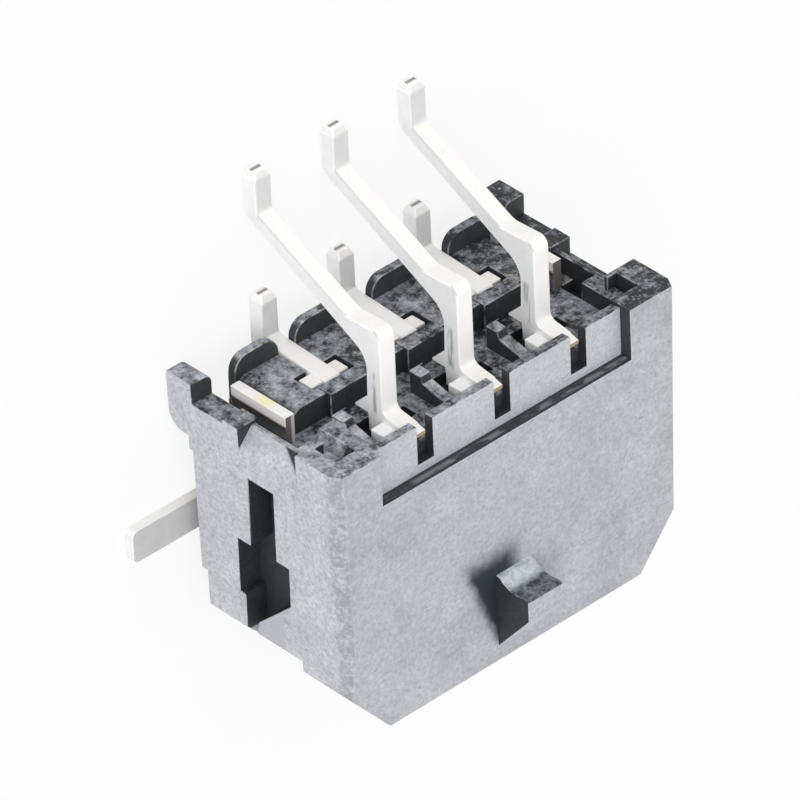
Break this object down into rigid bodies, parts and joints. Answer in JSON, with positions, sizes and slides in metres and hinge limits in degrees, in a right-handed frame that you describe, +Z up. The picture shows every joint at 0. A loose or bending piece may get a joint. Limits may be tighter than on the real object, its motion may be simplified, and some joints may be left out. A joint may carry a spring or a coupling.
{
  "type": "shrouded pin header",
  "caption": "Right-angle surface-mount shrouded pin header for a wire-to-board plug: black moulded housing with latch ramp, stamped tin-plated terminals and solder nails.",
  "frame": {"origin": "on the board plane, under the middle of the bounding box", "axes": "+X along the row of circuits, +Y from the mating mouth towards the solder feet, +Z up from the board to the latch face"},
  "size_m": [0.0168, 0.0152, 0.0085],
  "materials": {
    "housing": "black glass-filled moulding with a fine spark-eroded grain",
    "terminal": "matte tin plate over stamped copper alloy",
    "nail": "matte tin plate over stamped copper alloy"
  },
  "bodies": {
    "root": {"housing": "housing", "upper_terminal_1": "terminal", "upper_terminal_2": "terminal", "upper_terminal_3": "terminal", "lower_terminal_1": "terminal", "lower_terminal_2": "terminal", "lower_terminal_3": "terminal", "solder_nail_left": "nail", "solder_nail_right": "nail"}
  },
  "joints": []
}
